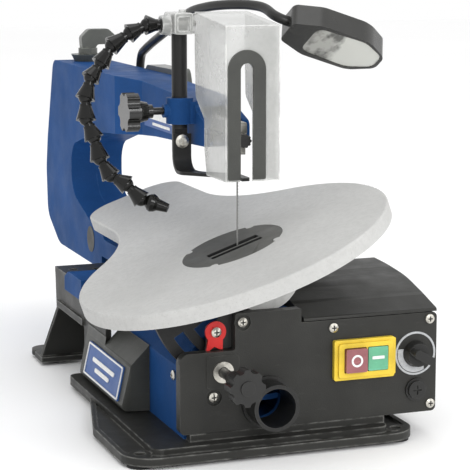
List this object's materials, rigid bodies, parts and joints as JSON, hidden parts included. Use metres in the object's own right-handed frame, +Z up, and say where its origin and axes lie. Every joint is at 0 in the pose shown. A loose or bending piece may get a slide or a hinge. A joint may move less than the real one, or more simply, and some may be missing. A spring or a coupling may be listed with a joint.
{
  "type": "scroll saw",
  "caption": "Bench scroll saw: tilting table, thin blade held by two rocking arms in a C frame, clear guard, jointed blower hose, lamp and dust port",
  "frame": {"origin": "on the bench under the rubber feet, midway between the two front fixing holes", "axes": "+X to the operator's right, +Y to the back along the arm, +Z up"},
  "size_m": [0.2724, 0.6339, 0.3355],
  "materials": {
    "blue_paint": "satin blue powder coat with a fine orange peel, worn lighter on the casting's edges",
    "black_paint": "satin black enamel with a fine texture and grey wear along the flange's edge",
    "cover_plastic": "dark grey moulded plastic, fine grain, light sheen",
    "panel_plastic": "dark grey moulded plastic, fine grain, light scuffs",
    "badge_print": "blue printed plate with pale marks",
    "table_cast": "pale grey hammered finish with a fine grain",
    "insert_plastic": "dark grey plastic",
    "zinc_screw": "zinc-plated steel",
    "bare_steel": "machined steel, lightly oiled",
    "dark_steel": "blackened steel",
    "blade_steel": "thin bright steel blade",
    "black_plastic": "black moulded plastic with a soft sheen",
    "hose_plastic": "glossy black plastic",
    "knob_plastic": "grey-black moulded plastic with rubbed edges",
    "red_plastic": "bright red moulded plastic",
    "yellow_plastic": "yellow moulded plastic",
    "stop_red": "red key under a clear cap",
    "start_green": "green key",
    "clear_plastic": "clear acrylic, faintly milky with light scratches",
    "strip_grey": "dark grey moulding",
    "lamp_plastic": "dark grey moulded plastic",
    "lens_plastic": "milky diffuser",
    "rubber": "black rubber",
    "copper_green": "green circuit board with its parts",
    "motor_can": "grey enamelled motor can"
  },
  "bodies": {
    "machine": {"base_frame": "black_paint", "base_feet": "rubber", "frame_left": "blue_paint", "frame_right": "blue_paint", "pivot_plugs": "panel_plastic", "pivot_shafts": "bare_steel", "left_cover": "cover_plastic", "name_badge": "badge_print", "arm_label": "badge_print", "front_panel": "panel_plastic", "motor_hood": "panel_plastic", "cord_gland": "black_plastic", "dust_port": "black_plastic", "switch_plate": "yellow_plastic", "fuse_holder": "black_plastic", "tilt_pointer": "red_plastic", "pointer_bracket": "dark_steel", "lock_washer": "zinc_screw", "cross_screws": "zinc_screw", "pivot_brackets": "bare_steel", "motor": "motor_can", "motor_cradle": "dark_steel", "control_board": "copper_green", "air_pump": "rubber", "tension_collar": "knob_plastic", "lamp_socket": "knob_plastic"},
    "table_body": {"table": "table_cast", "table_insert": "insert_plastic", "tilt_quadrant": "dark_steel"},
    "lock_knob": {"table_lock_knob": "black_plastic"},
    "upper_arm": {"upper_rocker": "bare_steel", "upper_blade_holder": "bare_steel", "blade_thumbscrew": "dark_steel"},
    "lower_arm": {"lower_rocker": "bare_steel", "lower_blade_holder": "bare_steel"},
    "blade": {"saw_blade": "blade_steel"},
    "arm_link": {"tension_rod": "bare_steel"},
    "drive_rod": {"connecting_rod": "bare_steel"},
    "drive_crank": {"crank": "bare_steel"},
    "lever": {"tension_lever": "knob_plastic"},
    "post": {"hold_down_post": "dark_steel", "presser_foot": "dark_steel", "foot_screw": "zinc_screw", "guard_bracket": "clear_plastic", "guard_hinge_pin": "bare_steel"},
    "guard_box": {"guard": "clear_plastic", "guard_strip": "strip_grey"},
    "post_clamp": {"post_clamp_knob": "knob_plastic"},
    "hose_1": {"hose_root": "hose_plastic"},
    "hose_2": {"hose_middle": "hose_plastic"},
    "hose_3": {"hose_lower": "hose_plastic"},
    "hose_4": {"hose_tip": "hose_plastic"},
    "hose_5": {"hose_nozzle": "hose_plastic"},
    "lamp_arm": {"lamp_gooseneck": "black_plastic"},
    "lamp_front": {"lamp_head": "lamp_plastic", "lamp_lens": "lens_plastic"},
    "speed_dial": {"speed_knob": "black_plastic"},
    "stop_key": {"stop_button": "stop_red"},
    "start_key": {"start_button": "start_green"}
  },
  "joints": [
    {"name": "table_tilt", "type": "hinge", "parent": "machine", "child": "table_body", "pos_m": [0, 0.075, 0.13567], "axis": [0, -1, 0], "range_deg": [-19.1, 15.9]},
    {"name": "lock_knob_turn", "type": "hinge", "parent": "machine", "child": "lock_knob", "pos_m": [-0.038, -0.025, 0.0653], "axis": [0, -1, 0], "range_deg": [-90, 90]},
    {"name": "arm_stroke", "type": "hinge", "parent": "machine", "child": "lower_arm", "pos_m": [0, 0.412, 0.0995], "axis": [-1, 0, 0], "range_deg": [-1.02, 1.02]},
    {"name": "upper_arm_stroke", "type": "hinge", "parent": "machine", "child": "upper_arm", "pos_m": [0, 0.412, 0.241], "axis": [-1, 0, 0], "range_deg": [-1.02, 1.02]},
    {"name": "blade_pin", "type": "hinge", "parent": "lower_arm", "child": "blade", "pos_m": [0, 0.075, 0.097], "axis": [-1, 0, 0], "range_deg": [-1.02, 1.02]},
    {"name": "link_pin", "type": "hinge", "parent": "lower_arm", "child": "arm_link", "pos_m": [0, 0.515, 0.0995], "axis": [-1, 0, 0], "range_deg": [-1.02, 1.02]},
    {"name": "drive_rod_pin", "type": "hinge", "parent": "lower_arm", "child": "drive_rod", "pos_m": [0.009, 0.095, 0.087], "axis": [-1, 0, 0], "range_deg": [-1.02, 1.02]},
    {"name": "motor_shaft", "type": "hinge", "parent": "machine", "child": "drive_crank", "pos_m": [0.017, 0.095, 0.059], "axis": [1, 0, 0], "continuous": true},
    {"name": "lever_turn", "type": "hinge", "parent": "machine", "child": "lever", "pos_m": [0.002, 0.515, 0.269], "axis": [0, 0, 1], "range_deg": [-90, 90]},
    {"name": "post_lift", "type": "slide", "parent": "machine", "child": "post", "axis": [0, 0, 1], "range_m": [-0.038, 0.007]},
    {"name": "guard_flip", "type": "hinge", "parent": "post", "child": "guard_box", "pos_m": [-0.016, 0.135, 0.319], "axis": [-1, 0, 0], "range_deg": [0, 75]},
    {"name": "post_clamp_turn", "type": "hinge", "parent": "machine", "child": "post_clamp", "pos_m": [-0.06, 0.145, 0.2485], "axis": [-1, 0, 0], "range_deg": [-90, 90]},
    {"name": "hose_root_ball", "type": "hinge", "parent": "post", "child": "hose_1", "pos_m": [-0.0368, 0.145, 0.3175], "axis": [0, -1, 0], "range_deg": [-15, 6]},
    {"name": "hose_middle_ball", "type": "hinge", "parent": "hose_1", "child": "hose_2", "pos_m": [-0.0806, 0.144, 0.302], "axis": [0, -1, 0], "range_deg": [-15, 6]},
    {"name": "hose_lower_ball", "type": "hinge", "parent": "hose_2", "child": "hose_3", "pos_m": [-0.1054, 0.135, 0.2623], "axis": [0, -1, 0], "range_deg": [-15, 6]},
    {"name": "hose_tip_ball", "type": "hinge", "parent": "hose_3", "child": "hose_4", "pos_m": [-0.0989, 0.119, 0.2156], "axis": [0, 1, 0], "range_deg": [-12, 8]},
    {"name": "nozzle_ball", "type": "hinge", "parent": "hose_4", "child": "hose_5", "pos_m": [-0.0708, 0.101, 0.1844], "axis": [0, 1, 0], "range_deg": [-10, 10]},
    {"name": "lamp_swing", "type": "hinge", "parent": "machine", "child": "lamp_arm", "pos_m": [0.034, 0.441, 0.244], "axis": [0, 0, 1], "range_deg": [0, 60]},
    {"name": "lamp_roll", "type": "hinge", "parent": "lamp_arm", "child": "lamp_front", "pos_m": [0.066, 0.132, 0.319], "axis": [0.9463, -0.046, -0.3201], "range_deg": [-30, 30]},
    {"name": "speed_dial_turn", "type": "hinge", "parent": "machine", "child": "speed_dial", "pos_m": [0.1216, -0.005, 0.0666], "axis": [0, -1, 0], "range_deg": [-60, 240]},
    {"name": "stop_press", "type": "slide", "parent": "machine", "child": "stop_key", "axis": [0, 1, 0], "range_m": [0, 0.002], "stiffness_N_per_m": 900},
    {"name": "start_press", "type": "slide", "parent": "machine", "child": "start_key", "axis": [0, 1, 0], "range_m": [0, 0.0015], "stiffness_N_per_m": 900}
  ],
  "couplings": [
    {"joint": "upper_arm_stroke", "follows": "arm_stroke", "ratio": 1},
    {"joint": "blade_pin", "follows": "arm_stroke", "ratio": -1},
    {"joint": "link_pin", "follows": "arm_stroke", "ratio": -1},
    {"joint": "drive_rod_pin", "follows": "arm_stroke", "ratio": -1}
  ]
}
